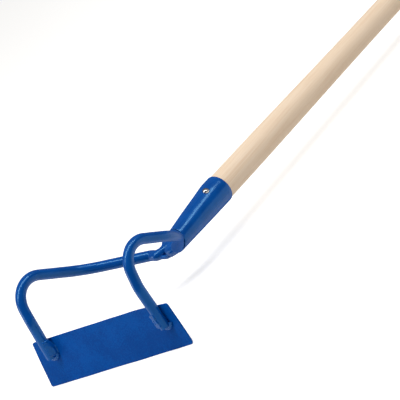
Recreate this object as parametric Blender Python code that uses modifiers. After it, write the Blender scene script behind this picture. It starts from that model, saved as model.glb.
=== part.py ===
"""Double-arm drag hoe: one steel blade carried by two bent round bars on a socketed wooden handle.

Tool axes: the handle runs along +Y from the narrow end of the socket, X is across the blade and
the arms rise towards +Z.  The finished tool then lies on its cutting edge and its handle's butt.
"""
import math

import bmesh
import bpy
from mathutils import Matrix, Vector

# Lengths are in metres and angles in degrees

GAP = 0.0003                    # clearance between pieces that touch on the real tool

# Socket: a rolled sheet shell, a short straight mouth and a cone that leans to the underside
SOCKET_MOUTH_DIAMETER = 0.0303
SOCKET_WALL = 0.001
SOCKET_LENGTH = 0.081
SOCKET_STRAIGHT = 0.013
SOCKET_END_WIDTH = 0.0242
SOCKET_END_HEIGHT = 0.0224
SOCKET_END_DROP = 0.0032
SOCKET_END_SLANT = 20.0

# Handle: a tapered wooden stick whose foot fills the socket
HANDLE_LENGTH = 1.400
HANDLE_RIM_STEP = 0.0009        # how far the socket's rim stands out from the wood
HANDLE_GRIP_DIAMETER = 0.0240
HANDLE_TAPER_LENGTH = 0.330
HANDLE_SHOULDER = 0.005
HANDLE_FOOT_CHAMFER = 0.003
HANDLE_BUTT_ROUND = 0.004
HANDLE_FOOT_LIFT = 0.003        # between the ends of the arms and the handle's foot

# Rivet that holds the handle in the socket
RIVET_BELOW_MOUTH = 0.022
RIVET_ANGLE = 55.0              # round the handle, from +X towards +Z
RIVET_HEAD_DIAMETER = 0.007
RIVET_HEAD_HEIGHT = 0.0022
RIVET_SHANK_DIAMETER = 0.0036
RIVET_SHANK_LENGTH = 0.012

# Arms: two mirrored round bars, each with five bends
BAR_DIAMETER = 0.010
BAR_ROOT_GAP = 0.0008           # between the two bars in the neck
BAR_ROOT_DROP = 0.0017
BAR_ROOT_INSERT = 0.018         # how far the bars reach into the socket
NECK_LENGTH = 0.0236            # from the socket's end to the first bend
NECK_DROP = 0.0034
SHOULDER_HALF_SPACING = 0.0195  # where each bar has left the neck sideways and turns forward
SHOULDER_FORWARD = 0.0200
SHOULDER_DROP = 0.0017
KINK_INSET = 0.0188             # inside the ends of the blade's top edge
KINK_FORWARD = 0.0617
KINK_RISE = 0.0277
ELBOW_INSET = 0.01825
ELBOW_FORWARD = 0.1247
ELBOW_RISE = 0.0681
NECK_BEND_RADIUS = 0.0072
SHOULDER_BEND_RADIUS = 0.0065
KINK_BEND_RADIUS = 0.050
ELBOW_BEND_RADIUS = 0.0248
FOOT_BEND_RADIUS = 0.060
BEND_STEP = 9.0                 # degrees of bend between two points of an arm's path

# Feet: the last length of an arm runs down into the blade's face and is cut flat where they meet
FOOT_TOP_INSET = 0.02055        # inside the ends of the blade's top edge
FOOT_END_INSET = 0.0220         # inside the ends of the cutting edge
FOOT_TOP_STAND_OFF = 0.0056     # from the blade's face to the bar's middle at the blade's top edge
FOOT_END_STAND_OFF = 0.0
FOOT_END_RISE = 0.0018          # above the middle of the blade

# Blade: a flat plate, a little wider at its cutting edge
BLADE_TOP_WIDTH = 0.2125
BLADE_EDGE_WIDTH = 0.2234
BLADE_HEIGHT = 0.0478
BLADE_THICKNESS = 0.002
BLADE_CORNER_RADIUS = 0.0022
BLADE_FORWARD = 0.1398
BLADE_DROP = 0.0244
BLADE_LEAN = 9.8                # its top leans back towards the handle
BLADE_GRIND = 0.004             # height of the ground bevel behind the cutting edge
BLADE_EDGE_THICKNESS = 0.0008

# Welds
BLADE_WELD_RADIUS = 0.003
BLADE_WELD_OFFSET = 0.0056      # from the bar's middle to the middle of the bead
BLADE_WELD_TIP = 0.003          # how far the bead runs round ahead of the bar's end
BLADE_WELD_WRAP = 115.0         # degrees it turns round that end
BLADE_WELD_BELOW_TOP = 0.0045
NECK_WELD_TOP_LENGTH = 0.007
NECK_WELD_BOTTOM_LENGTH = 0.021
NECK_WELD_COVER = 0.0026        # weld metal under the bars
NECK_WELD_WAIST = 0.40          # share of its length where its middle ring lies
NECK_WELD_ROUND = 0.0016        # length of its rounded tip
NECK_WELD_TIP_SHARE = 0.78      # size of its last ring beside the one before

ROUND_SEGMENTS = 40
SMALL_SEGMENTS = 24
BAR_RESOLUTION = 6
BEAD_RESOLUTION = 3

BAR_RADIUS = BAR_DIAMETER / 2
ROOT_HALF_SPACING = BAR_RADIUS + BAR_ROOT_GAP / 2
SOCKET_MOUTH_RADIUS = SOCKET_MOUTH_DIAMETER / 2
CONE_TOP = SOCKET_LENGTH - SOCKET_STRAIGHT
HANDLE_FOOT = BAR_ROOT_INSERT + HANDLE_FOOT_LIFT


def clear_scene():
    """Remove whatever the scene holds."""
    for item in list(bpy.data.objects):
        bpy.data.objects.remove(item, do_unlink=True)


def new_collection(name):
    """Make a collection under the scene."""
    collection = bpy.data.collections.new(name)
    bpy.context.scene.collection.children.link(collection)
    return collection


def new_material(name, colour, roughness, metallic=0.0):
    """Make a plain Principled material."""
    material = bpy.data.materials.new(name)
    material.use_nodes = True
    shader = material.node_tree.nodes["Principled BSDF"]
    shader.inputs["Base Color"].default_value = (*colour, 1.0)
    shader.inputs["Roughness"].default_value = roughness
    shader.inputs["Metallic"].default_value = metallic
    material.diffuse_color = (*colour, 1.0)
    return material


def new_object(name, data, collection, parent, material=None):
    """Link an object for a mesh or a curve, with its own copy of a material."""
    item = bpy.data.objects.new(name, data)
    collection.objects.link(item)
    item.parent = parent
    if material is not None:
        own = material.copy()
        own.name = name + "_finish"
        data.materials.append(own)
    return item


def finish_mesh(bm, name, sharp_angle=40.0):
    """Turn a bmesh into a smooth shaded mesh with its faces pointing out."""
    bmesh.ops.recalc_face_normals(bm, faces=bm.faces)
    mesh = bpy.data.meshes.new(name)
    bm.to_mesh(mesh)
    bm.free()
    mesh.shade_smooth()
    mesh.set_sharp_from_angle(angle=math.radians(sharp_angle))
    return mesh


def ring_matrix(y, z, half_width, half_height, slant=0.0):
    """Place a unit circle square to the handle's axis, or with its underside slanted forward."""
    turn = Matrix.Rotation(math.radians(90.0 - slant), 4, "X")
    size = Matrix.Diagonal((half_width, half_height, 1.0, 1.0))
    return Matrix.Translation((0.0, y, z)) @ turn @ size


def loft(name, rings, segments, closed=True):
    """Bridge a row of rings, and cap both ends where the shape is closed."""
    bm = bmesh.new()
    loops = []
    for index, matrix in enumerate(rings):
        capped = closed and index in (0, len(rings) - 1)
        made = bmesh.ops.create_circle(bm, cap_ends=capped, segments=segments, radius=1.0, matrix=matrix)
        loops.append({edge for vert in made["verts"] for edge in vert.link_edges})
    for first, second in zip(loops, loops[1:]):
        bmesh.ops.bridge_loops(bm, edges=list(first | second))
    return finish_mesh(bm, name)


def socket_centre_drop(y):
    """Distance of the socket's centre below the handle's axis at y."""
    return SOCKET_END_DROP * max(0.0, (CONE_TOP - y) / CONE_TOP)


def socket_size(y):
    """Outer half width and half height of the socket at y."""
    share = min(1.0, y / CONE_TOP)
    half_width = SOCKET_END_WIDTH / 2 + (SOCKET_MOUTH_RADIUS - SOCKET_END_WIDTH / 2) * share
    half_height = SOCKET_END_HEIGHT / 2 + (SOCKET_MOUTH_RADIUS - SOCKET_END_HEIGHT / 2) * share
    return half_width, half_height


def socket_ring(y, inset=0.0):
    """Ring square to the handle's axis on the socket's outside, or inset from it."""
    half_width, half_height = socket_size(y)
    return ring_matrix(y, -socket_centre_drop(y), half_width - inset, half_height - inset)


def end_ring(y, inset=0.0):
    """Ring on the slanted plane that cuts the socket's narrow end, shifted along the axis by y."""
    half_width, half_height = socket_size(0.0)
    tall = (half_height - inset) / math.cos(math.radians(SOCKET_END_SLANT))
    return ring_matrix(y, -SOCKET_END_DROP, half_width - inset, tall, SOCKET_END_SLANT)


def handle_radius(distance):
    """Radius of the bare handle at a distance above the socket's mouth."""
    neck = SOCKET_MOUTH_RADIUS - HANDLE_RIM_STEP
    grip = HANDLE_GRIP_DIAMETER / 2
    share = min(1.0, distance / HANDLE_TAPER_LENGTH)
    blend = share * share * (3.0 - 2.0 * share)
    return neck + (grip - neck) * blend


def apply_cut(item, cutter, operation="DIFFERENCE"):
    """Add an exact boolean to an object."""
    modifier = item.modifiers.new(operation.lower(), "BOOLEAN")
    modifier.operation = operation
    modifier.solver = "EXACT"
    modifier.object = cutter
    cutter.hide_render = True
    cutter.display_type = "WIRE"


def make_socket(parts, tool, material, hole):
    """Sheet steel shell, open at both ends, pierced for the rivet."""
    rings = [end_ring(0.0)]
    for share in (0.35, 0.7, 1.0):
        rings.append(socket_ring(CONE_TOP * share))
    rings.append(socket_ring(SOCKET_LENGTH))
    socket = new_object("socket", loft("socket", rings, ROUND_SEGMENTS, closed=False), parts, tool, material)
    wall = socket.modifiers.new("wall", "SOLIDIFY")
    wall.thickness = SOCKET_WALL
    wall.offset = -1.0
    wall.use_even_offset = True
    apply_cut(socket, hole)
    return socket


def make_handle(parts, tool, material, hole):
    """Wooden handle: a foot that follows the socket's inside, a long taper and a rounded butt."""
    inner = SOCKET_WALL + GAP
    rings = [socket_ring(HANDLE_FOOT, inner + HANDLE_FOOT_CHAMFER)]
    for y in (HANDLE_FOOT + HANDLE_FOOT_CHAMFER, CONE_TOP, SOCKET_LENGTH + GAP):
        rings.append(socket_ring(y, inner))
    taper_steps = 12
    for step in range(taper_steps + 1):
        distance = HANDLE_SHOULDER + (HANDLE_TAPER_LENGTH - HANDLE_SHOULDER) * step / taper_steps
        radius = handle_radius(distance)
        rings.append(ring_matrix(SOCKET_LENGTH + distance, 0.0, radius, radius))
    butt = HANDLE_FOOT + HANDLE_LENGTH
    for turn in (0.0, 30.0, 60.0, 90.0):
        y = butt - HANDLE_BUTT_ROUND * (1.0 - math.sin(math.radians(turn)))
        radius = HANDLE_GRIP_DIAMETER / 2 - HANDLE_BUTT_ROUND * (1.0 - math.cos(math.radians(turn)))
        rings.append(ring_matrix(y, 0.0, radius, radius))
    handle = new_object("handle", loft("handle", rings, ROUND_SEGMENTS), parts, tool, material)
    apply_cut(handle, hole)
    return handle


def turned(name, profile, segments):
    """Mesh of a profile in (radius, height), given outer side down, turned round Z."""
    mesh = bpy.data.meshes.new(name)
    points = [(radius, 0.0, height) for radius, height in profile]
    edges = [(index, index + 1) for index in range(len(points) - 1)]
    mesh.from_pydata(points, edges, [])
    item = bpy.data.objects.new(name, mesh)
    bpy.context.scene.collection.objects.link(item)
    screw = item.modifiers.new("turn", "SCREW")
    screw.steps = segments
    screw.render_steps = segments
    screw.use_merge_vertices = True
    screw.merge_threshold = 0.00001
    bpy.context.view_layer.update()
    depsgraph = bpy.context.evaluated_depsgraph_get()
    solid = bpy.data.meshes.new_from_object(item.evaluated_get(depsgraph))
    solid.name = name
    bpy.data.objects.remove(item, do_unlink=True)
    bm = bmesh.new()
    bm.from_mesh(solid)
    bmesh.ops.remove_doubles(bm, verts=bm.verts, dist=0.000001)
    bm.to_mesh(solid)
    bm.free()
    solid.set_sharp_from_angle(angle=math.radians(40.0))
    return solid


def rivet_profile():
    """Outer profile of the rivet, head up, from the crown down to the shank's tip."""
    head = RIVET_HEAD_DIAMETER / 2
    shank = RIVET_SHANK_DIAMETER / 2
    profile = [(0.0, RIVET_HEAD_HEIGHT)]
    dome_steps = 6
    for step in range(1, dome_steps + 1):
        turn = math.radians(90.0 * step / dome_steps)
        profile.append((head * math.sin(turn), RIVET_HEAD_HEIGHT * math.cos(turn)))
    profile.append((shank, 0.0))
    profile.append((shank, -RIVET_SHANK_LENGTH))
    profile.append((0.0, -RIVET_SHANK_LENGTH))
    return profile


def rivet_frame():
    """Place of the underside of the rivet's head, its own Z pointing away from the handle."""
    y = SOCKET_LENGTH - RIVET_BELOW_MOUTH
    angle = math.radians(RIVET_ANGLE)
    out = Vector((math.cos(angle), 0.0, math.sin(angle)))
    half_width, half_height = socket_size(y)
    reach = 1.0 / math.hypot(out.x / half_width, out.z / half_height)
    foot = Vector((0.0, y, -socket_centre_drop(y))) + out * (reach + GAP)
    turn = Matrix.Rotation(math.pi / 2 - angle, 4, "Y")
    return Matrix.Translation(foot) @ turn


def make_rivet(parts, cutters, tool, material):
    """Domed rivet, and the cutter for its hole through the wall and into the wood."""
    place = rivet_frame()
    mesh = turned("handle_rivet", rivet_profile(), SMALL_SEGMENTS)
    rivet = new_object("handle_rivet", mesh, parts, tool, material)
    rivet.matrix_local = place
    depth = RIVET_SHANK_LENGTH + GAP
    reach = RIVET_HEAD_HEIGHT
    radius = RIVET_SHANK_DIAMETER / 2 + GAP
    hole_profile = [(0.0, reach), (radius, reach), (radius, -depth), (0.0, -depth)]
    hole = new_object("rivet_hole", turned("rivet_hole", hole_profile, SMALL_SEGMENTS), cutters, tool)
    hole.matrix_local = place
    return rivet, hole


def blade_axes():
    """Unit vectors up the blade and out of its outer face."""
    lean = math.radians(BLADE_LEAN)
    up = Vector((0.0, math.sin(lean), math.cos(lean)))
    out = Vector((0.0, -math.cos(lean), math.sin(lean)))
    return up, out


def blade_middle():
    """Middle of the blade's outer face."""
    return Vector((0.0, -BLADE_FORWARD, -BLADE_DROP))


def foot_points(side):
    """Lower end of an arm's foot, and the point where it passes the blade's top edge."""
    up, out = blade_axes()
    end = blade_middle() + out * FOOT_END_STAND_OFF + up * FOOT_END_RISE
    top = blade_middle() + out * FOOT_TOP_STAND_OFF + up * (BLADE_HEIGHT / 2)
    end.x = side * (BLADE_EDGE_WIDTH / 2 - FOOT_END_INSET)
    top.x = side * (BLADE_TOP_WIDTH / 2 - FOOT_TOP_INSET)
    return end, top


def arm_corners(side):
    """Corner points of an arm's path, from its root to its foot."""
    end, top = foot_points(side)
    kink_half_spacing = BLADE_TOP_WIDTH / 2 - KINK_INSET
    elbow_half_spacing = BLADE_TOP_WIDTH / 2 - ELBOW_INSET
    return [
        Vector((side * ROOT_HALF_SPACING, BAR_ROOT_INSERT, -BAR_ROOT_DROP)),
        Vector((side * ROOT_HALF_SPACING, -NECK_LENGTH, -NECK_DROP)),
        Vector((side * SHOULDER_HALF_SPACING, -SHOULDER_FORWARD, -SHOULDER_DROP)),
        Vector((side * kink_half_spacing, -KINK_FORWARD, KINK_RISE)),
        Vector((side * elbow_half_spacing, -ELBOW_FORWARD, ELBOW_RISE)),
        top,
        end,
    ]


def rounded_path(corners, radii):
    """Path through the corners with each inner corner replaced by an arc of its radius."""
    path = [corners[0]]
    for before, corner, after, radius in zip(corners, corners[1:], corners[2:], radii):
        back = (before - corner).normalized()
        ahead = (after - corner).normalized()
        turn = math.pi - back.angle(ahead)
        tangent = radius * math.tan(turn / 2)
        centre = corner + (back + ahead).normalized() * (radius / math.cos(turn / 2))
        start = corner + back * tangent - centre
        end = corner + ahead * tangent - centre
        steps = max(2, math.ceil(math.degrees(turn) / BEND_STEP))
        for step in range(steps + 1):
            share = step / steps
            first = math.sin((1.0 - share) * turn) / math.sin(turn)
            second = math.sin(share * turn) / math.sin(turn)
            path.append(centre + start * first + end * second)
    path.append(corners[-1])
    return path


def tube_curve(name, path, radius, resolution):
    """Round bar along a path, with closed ends."""
    curve = bpy.data.curves.new(name, "CURVE")
    curve.dimensions = "3D"
    curve.bevel_depth = radius
    curve.bevel_resolution = resolution
    curve.use_fill_caps = True
    spline = curve.splines.new("POLY")
    spline.points.add(len(path) - 1)
    for point, place in zip(spline.points, path):
        point.co = (*place, 1.0)
    spline.use_smooth = True
    return curve


def mesh_from_curve(curve, name, collection, parent, material=None):
    """Closed mesh object made from a curve, with its caps welded."""
    item = bpy.data.objects.new(name + "_curve", curve)
    bpy.context.scene.collection.objects.link(item)
    bpy.context.view_layer.update()
    depsgraph = bpy.context.evaluated_depsgraph_get()
    mesh = bpy.data.meshes.new_from_object(item.evaluated_get(depsgraph))
    bpy.data.objects.remove(item, do_unlink=True)
    bm = bmesh.new()
    bm.from_mesh(mesh)
    bmesh.ops.remove_doubles(bm, verts=bm.verts, dist=0.000001)
    return new_object(name, finish_mesh(bm, name), collection, parent, material)


def arm_path(corners):
    """Path of an arm with its bends rounded."""
    radii = [NECK_BEND_RADIUS, SHOULDER_BEND_RADIUS, KINK_BEND_RADIUS, ELBOW_BEND_RADIUS, FOOT_BEND_RADIUS]
    return rounded_path(corners, radii)


def make_arm(name, side, blade_clearance, parts, tool, material):
    """One bent round bar, its foot cut flat against the blade."""
    curve = tube_curve(name, arm_path(arm_corners(side)), BAR_RADIUS, BAR_RESOLUTION)
    arm = mesh_from_curve(curve, name, parts, tool, material)
    apply_cut(arm, blade_clearance)
    return arm


def arm_clearance(name, side, cutters, tool):
    """Fatter and longer copy of an arm, which leaves the clearance round it."""
    corners = arm_corners(side)
    corners[0] = corners[0] + Vector((0.0, BAR_DIAMETER, 0.0))
    corners[-1] = corners[-1] + (corners[-1] - corners[-2]).normalized() * GAP
    curve = tube_curve(name, arm_path(corners), BAR_RADIUS + GAP, BAR_RESOLUTION)
    return mesh_from_curve(curve, name, cutters, tool)


def blade_outline():
    """Corners of the blade in its own plane, X across and Y up."""
    half = BLADE_HEIGHT / 2
    return [
        Vector((-BLADE_EDGE_WIDTH / 2, -half, 0.0)),
        Vector((BLADE_EDGE_WIDTH / 2, -half, 0.0)),
        Vector((BLADE_TOP_WIDTH / 2, half, 0.0)),
        Vector((-BLADE_TOP_WIDTH / 2, half, 0.0)),
    ]


def blade_place(sink):
    """Place of a shape drawn in the blade's plane, sunk behind the blade's outer face."""
    up, out = blade_axes()
    turn = Matrix((Vector((1.0, 0.0, 0.0)), up, out)).transposed().to_4x4()
    return Matrix.Translation(blade_middle() - out * sink) @ turn


def box_cutter(name, size, place, cutters, tool):
    """Box of a size, centred on a place."""
    bm = bmesh.new()
    bmesh.ops.create_cube(bm, size=1.0, matrix=Matrix.Diagonal((*size, 1.0)))
    box = new_object(name, finish_mesh(bm, name), cutters, tool)
    box.matrix_local = place
    return box


def make_blade_clearance(cutters, tool):
    """Box behind a plane just in front of the blade, for what is seated on the blade."""
    depth = BLADE_HEIGHT
    size = (BLADE_EDGE_WIDTH * 2, BLADE_HEIGHT + BAR_DIAMETER, depth)
    return box_cutter("blade_clearance", size, blade_place(depth / 2 - GAP), cutters, tool)


def make_blade(parts, cutters, tool, material):
    """Flat plate with rounded corners, ground behind its cutting edge."""
    corners = blade_outline()
    middle = (corners[0] + corners[1]) / 2
    loop = [middle] + corners[1:] + [corners[0], middle]
    outline = rounded_path(loop, [BLADE_CORNER_RADIUS] * 4)[1:-1]
    curve = bpy.data.curves.new("blade", "CURVE")
    curve.dimensions = "2D"
    curve.fill_mode = "BOTH"
    curve.extrude = BLADE_THICKNESS / 2
    spline = curve.splines.new("POLY")
    spline.points.add(len(outline) - 1)
    for point, place in zip(spline.points, outline):
        point.co = (place.x, place.y, 0.0, 1.0)
    spline.use_cyclic_u = True
    blade = mesh_from_curve(curve, "blade", parts, tool, material)
    blade.matrix_local = blade_place(BLADE_THICKNESS / 2)
    slope = math.atan2(BLADE_THICKNESS - BLADE_EDGE_THICKNESS, BLADE_GRIND)
    pivot = Matrix.Translation((0.0, BLADE_GRIND - BLADE_HEIGHT / 2, -BLADE_THICKNESS / 2))
    depth = BLADE_HEIGHT / 2
    swing = Matrix.Rotation(-slope, 4, "X") @ Matrix.Translation((0.0, 0.0, -depth / 2))
    size = (BLADE_EDGE_WIDTH * 2, BLADE_HEIGHT, depth)
    place = blade.matrix_local @ pivot @ swing
    apply_cut(blade, box_cutter("grinding_wedge", size, place, cutters, tool))
    return blade


def make_blade_weld(name, side, bar, blade_clearance, parts, tool, material):
    """Bead in the corner between a foot and the blade, down the inner side and round the end."""
    up, out = blade_axes()
    end, top = foot_points(side)
    end = end - out * FOOT_END_STAND_OFF
    top = top - out * FOOT_TOP_STAND_OFF
    along = (top - end).normalized()
    inward = out.cross(along) * side
    run = (top - end).length - BLADE_WELD_BELOW_TOP
    path = [end + inward * BLADE_WELD_OFFSET + along * run]
    pivot = end + along * (BLADE_WELD_OFFSET - BLADE_WELD_TIP)
    turn_steps = 8
    for step in range(turn_steps + 1):
        turn = math.radians(BLADE_WELD_WRAP * step / turn_steps)
        spoke = inward * math.cos(turn) - along * math.sin(turn)
        path.append(pivot + spoke * BLADE_WELD_OFFSET)
    curve = tube_curve(name, path, BLADE_WELD_RADIUS, BEAD_RESOLUTION)
    weld = mesh_from_curve(curve, name, parts, tool, material)
    apply_cut(weld, bar)
    apply_cut(weld, blade_clearance)
    return weld


def make_neck_weld(bars, parts, tool, material):
    """Weld metal that closes the socket's end under and around the two bars."""
    half_width = ROOT_HALF_SPACING + BAR_RADIUS
    half_height = BAR_RADIUS + NECK_WELD_COVER
    length = (NECK_WELD_TOP_LENGTH + NECK_WELD_BOTTOM_LENGTH) / 2
    spread = NECK_WELD_BOTTOM_LENGTH - NECK_WELD_TOP_LENGTH
    last_slant = math.degrees(math.atan2(spread, 2 * half_height))
    tall = half_height / math.cos(math.radians(last_slant))
    rim_width, rim_height = socket_size(0.0)
    waist_width = (rim_width + half_width) / 2
    waist_height = (rim_height + half_height) / 2
    waist_slant = (SOCKET_END_SLANT + last_slant) / 2
    drop = -SOCKET_END_DROP
    small = NECK_WELD_TIP_SHARE
    wall_lead = SOCKET_WALL * math.tan(math.radians(SOCKET_END_SLANT))
    rings = [
        end_ring(-GAP - wall_lead, GAP),
        ring_matrix(-length * NECK_WELD_WAIST, drop, waist_width, waist_height, waist_slant),
        ring_matrix(-length, drop, half_width, tall, last_slant),
        ring_matrix(-length - NECK_WELD_ROUND, drop, half_width * small, tall * small, last_slant),
    ]
    weld = new_object("neck_weld", loft("neck_weld", rings, ROUND_SEGMENTS), parts, tool, material)
    for bar in bars:
        apply_cut(weld, bar)
    return weld


def world_corners(item, depsgraph):
    """Evaluated vertices of an object in world space."""
    solid = item.evaluated_get(depsgraph)
    mesh = solid.to_mesh()
    points = [solid.matrix_world @ vert.co for vert in mesh.vertices]
    solid.to_mesh_clear()
    return points


def set_down(tool, parts):
    """Tip the tool onto its cutting edge and its butt, and centre it over the origin."""
    up = blade_axes()[0]
    edge = blade_middle() - up * (BLADE_HEIGHT / 2)
    butt = Vector((0.0, HANDLE_FOOT + HANDLE_LENGTH - HANDLE_BUTT_ROUND, -HANDLE_GRIP_DIAMETER / 2))
    tip = math.atan2(butt.z - edge.z, butt.y - edge.y)
    tool.rotation_euler = (-tip, 0.0, 0.0)
    bpy.context.view_layer.update()
    depsgraph = bpy.context.evaluated_depsgraph_get()
    points = [point for item in parts.objects for point in world_corners(item, depsgraph)]
    low = [min(point[axis] for point in points) for axis in range(3)]
    high = [max(point[axis] for point in points) for axis in range(3)]
    tool.location = (-(low[0] + high[0]) / 2, -(low[1] + high[1]) / 2, -low[2])
    bpy.context.view_layer.update()


def main():
    """Build the tool."""
    clear_scene()
    parts = new_collection("double_hoe")
    cutters = new_collection("cutters")
    tool = bpy.data.objects.new("tool_axes", None)
    bpy.context.scene.collection.objects.link(tool)

    paint = new_material("blue_gloss_paint", (0.0, 0.065, 0.32), 0.25)
    wood = new_material("pale_ash_wood", (0.76, 0.62, 0.47), 0.55)
    steel = new_material("bright_steel", (0.62, 0.62, 0.6), 0.3, 1.0)

    rivet, hole = make_rivet(parts, cutters, tool, steel)
    make_socket(parts, tool, paint, hole)
    make_handle(parts, tool, wood, hole)
    make_blade(parts, cutters, tool, paint)
    blade_clearance = make_blade_clearance(cutters, tool)
    bars = []
    for side, word in ((-1, "left"), (1, "right")):
        make_arm(word + "_arm", side, blade_clearance, parts, tool, paint)
        bar = arm_clearance(word + "_arm_clearance", side, cutters, tool)
        make_blade_weld(word + "_blade_weld", side, bar, blade_clearance, parts, tool, paint)
        bars.append(bar)
    make_neck_weld(bars, parts, tool, paint)
    set_down(tool, parts)


main()
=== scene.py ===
"""Looks of the double hoe: enamelled steel head, riveted socket and bare wooden handle.

Shapes are drawn in the tool's own axes in millimetres: Y runs up the handle from the socket's
narrow end, X lies across the blade and Z is the side the arms rise to.
"""
import logging
import math
from dataclasses import dataclass
from enum import Enum
from typing import Optional, Sequence

import bmesh
import bpy
from bpy.types import Material, Mesh, NodeSocket, NodeTree
from mathutils import Matrix, Vector, noise


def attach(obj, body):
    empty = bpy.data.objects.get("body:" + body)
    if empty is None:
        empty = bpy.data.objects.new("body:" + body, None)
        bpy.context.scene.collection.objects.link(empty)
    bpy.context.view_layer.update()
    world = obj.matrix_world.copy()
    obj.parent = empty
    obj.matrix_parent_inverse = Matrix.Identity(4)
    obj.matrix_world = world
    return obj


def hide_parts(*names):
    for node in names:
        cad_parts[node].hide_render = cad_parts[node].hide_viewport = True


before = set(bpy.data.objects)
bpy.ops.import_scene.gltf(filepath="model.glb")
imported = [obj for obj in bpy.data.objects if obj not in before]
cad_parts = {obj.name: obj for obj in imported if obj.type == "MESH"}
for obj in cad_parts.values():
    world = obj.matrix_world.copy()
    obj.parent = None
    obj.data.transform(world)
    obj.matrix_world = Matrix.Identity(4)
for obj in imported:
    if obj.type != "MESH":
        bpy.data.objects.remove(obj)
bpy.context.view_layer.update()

LOG = logging.getLogger("double_hoe")
MM = 0.001
NOISE_STEPS = (17.3, 5.1, 9.7)
Pair = tuple[float, float]
Triple = tuple[float, float, float]
Colour = tuple[float, float, float, float]


def linear(code: str) -> Colour:
    """Turn an sRGB hex colour into linear light.

    Args:
        code: colour as "#RRGGBB".

    Returns:
        Linear red, green, blue and an alpha of 1.
    """
    values = [int(code[place:place + 2], 16) / 255 for place in (1, 3, 5)]
    light = [value / 12.92 if value <= 0.04045 else ((value + 0.055) / 1.055) ** 2.4 for value in values]
    return (light[0], light[1], light[2], 1.0)


def add_node(tree: NodeTree, kind: str, settings: Optional[dict] = None) -> bpy.types.Node:
    """Add a node and fill it in.

    Args:
        tree: node tree that gets the node.
        kind: the node's type.
        settings: attributes by name, and values or output sockets by the index or name of an input.

    Returns:
        The new node.
    """
    node = tree.nodes.new(kind)
    for key, value in (settings or {}).items():
        if isinstance(value, NodeSocket):
            tree.links.new(value, node.inputs[key])
        elif isinstance(key, str) and hasattr(node, key):
            setattr(node, key, value)
        else:
            node.inputs[key].default_value = value
    return node


def add_noise(tree: NodeTree, place: NodeSocket, size_mm: float, detail: float,
              distortion: float = 0.0) -> NodeSocket:
    """Add a noise texture.

    Args:
        tree: node tree that gets the texture.
        place: socket with the place that it is read at.
        size_mm: width of its clouds.
        detail: number of finer layers in it.
        distortion: how far it is warped.

    Returns:
        Socket with the noise.
    """
    settings = {"Scale": 1 / (size_mm * MM), "Detail": detail, "Distortion": distortion, "Vector": place}
    return add_node(tree, "ShaderNodeTexNoise", settings).outputs["Fac"]


def add_range(tree: NodeTree, value: NodeSocket, target: Pair,
              source: Pair = (0.0, 1.0)) -> NodeSocket:
    """Add a node that carries a value from a source range to a target range, and give its result."""
    settings = {"From Min": source[0], "From Max": source[1], "To Min": target[0], "To Max": target[1]}
    return add_node(tree, "ShaderNodeMapRange", {**settings, "Value": value}).outputs[0]


def add_math(tree: NodeTree, operation: str, *terms: float | NodeSocket,
             clamp: bool = False) -> NodeSocket:
    """Add a math node on numbers or sockets, and give its result."""
    settings = {"operation": operation, "use_clamp": clamp, **dict(enumerate(terms))}
    return add_node(tree, "ShaderNodeMath", settings).outputs[0]


def add_mix(tree: NodeTree, share: NodeSocket, first: Colour | NodeSocket,
            last: Colour) -> NodeSocket:
    """Add a node that mixes two colours by a share, and give its colour."""
    settings = {"data_type": "RGBA", 0: share, 6: first, 7: last}
    return add_node(tree, "ShaderNodeMix", settings).outputs[2]


def set_surface(tree: NodeTree, settings: dict) -> None:
    """Add the surface shader with its settings and lead it to the material's output."""
    shader = add_node(tree, "ShaderNodeBsdfPrincipled", settings)
    add_node(tree, "ShaderNodeOutputMaterial", {"Surface": shader.outputs[0]})


def blank_material(name: str) -> tuple[Material, NodeTree]:
    """New material, and its node tree with nothing in it."""
    material = bpy.data.materials.new(name)
    material.use_nodes = True
    material.node_tree.nodes.clear()
    return material, material.node_tree


def add_object(name: str, data: bpy.types.ID) -> bpy.types.Object:
    """Put data into the scene as a new object."""
    added = bpy.data.objects.new(name, data)
    bpy.context.scene.collection.objects.link(added)
    return added


def write_mesh(bm: bmesh.types.BMesh, mesh: Mesh) -> Mesh:
    """Point a bmesh's faces outward, move it into a mesh and give that mesh."""
    bmesh.ops.recalc_face_normals(bm, faces=bm.faces)
    bm.to_mesh(mesh)
    bm.free()
    return mesh


@dataclass(frozen=True)
class ToolAxes:
    """Where the tool's own axes lie as it rests on its cutting edge and its butt."""

    origin: Triple = (0.0, -0.63764, 0.04501)
    tip_degrees: float = -1.3195

    def matrix(self) -> Matrix:
        """Matrix from the tool's axes, in metres, to the frame."""
        return Matrix.Translation(self.origin) @ Matrix.Rotation(math.radians(self.tip_degrees), 4, "X")


AXES = ToolAxes()


class Slot(Enum):
    """Finishes that the record names."""

    WOOD = "handle_wood"
    STEEL = "rivet_steel"
    PAINT = "blue_paint"


def finish_piece(name: str, mesh: Mesh, material: Material,
                 nodes: Sequence[str], sharp_degrees: float = 50.0) -> None:
    """Args:
        name: name of the piece.
        mesh: mesh in the tool's axes, in millimetres.
        material: its finish.
        nodes: CAD nodes that the piece stands for.
        sharp_degrees: edges that turn more than this stay crisp.
    """
    mesh.transform(AXES.matrix() @ Matrix.Diagonal((MM, MM, MM, 1.0)))
    mesh.name = name
    mesh.materials.clear()
    mesh.materials.append(material)
    mesh.shade_smooth()
    mesh.set_sharp_from_angle(angle=math.radians(sharp_degrees))
    piece = add_object(name, mesh)
    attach(piece, "root")
    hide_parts(*nodes)
    LOG.info("%s: %d faces, %s", name, len(mesh.polygons), material.name)


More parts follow.
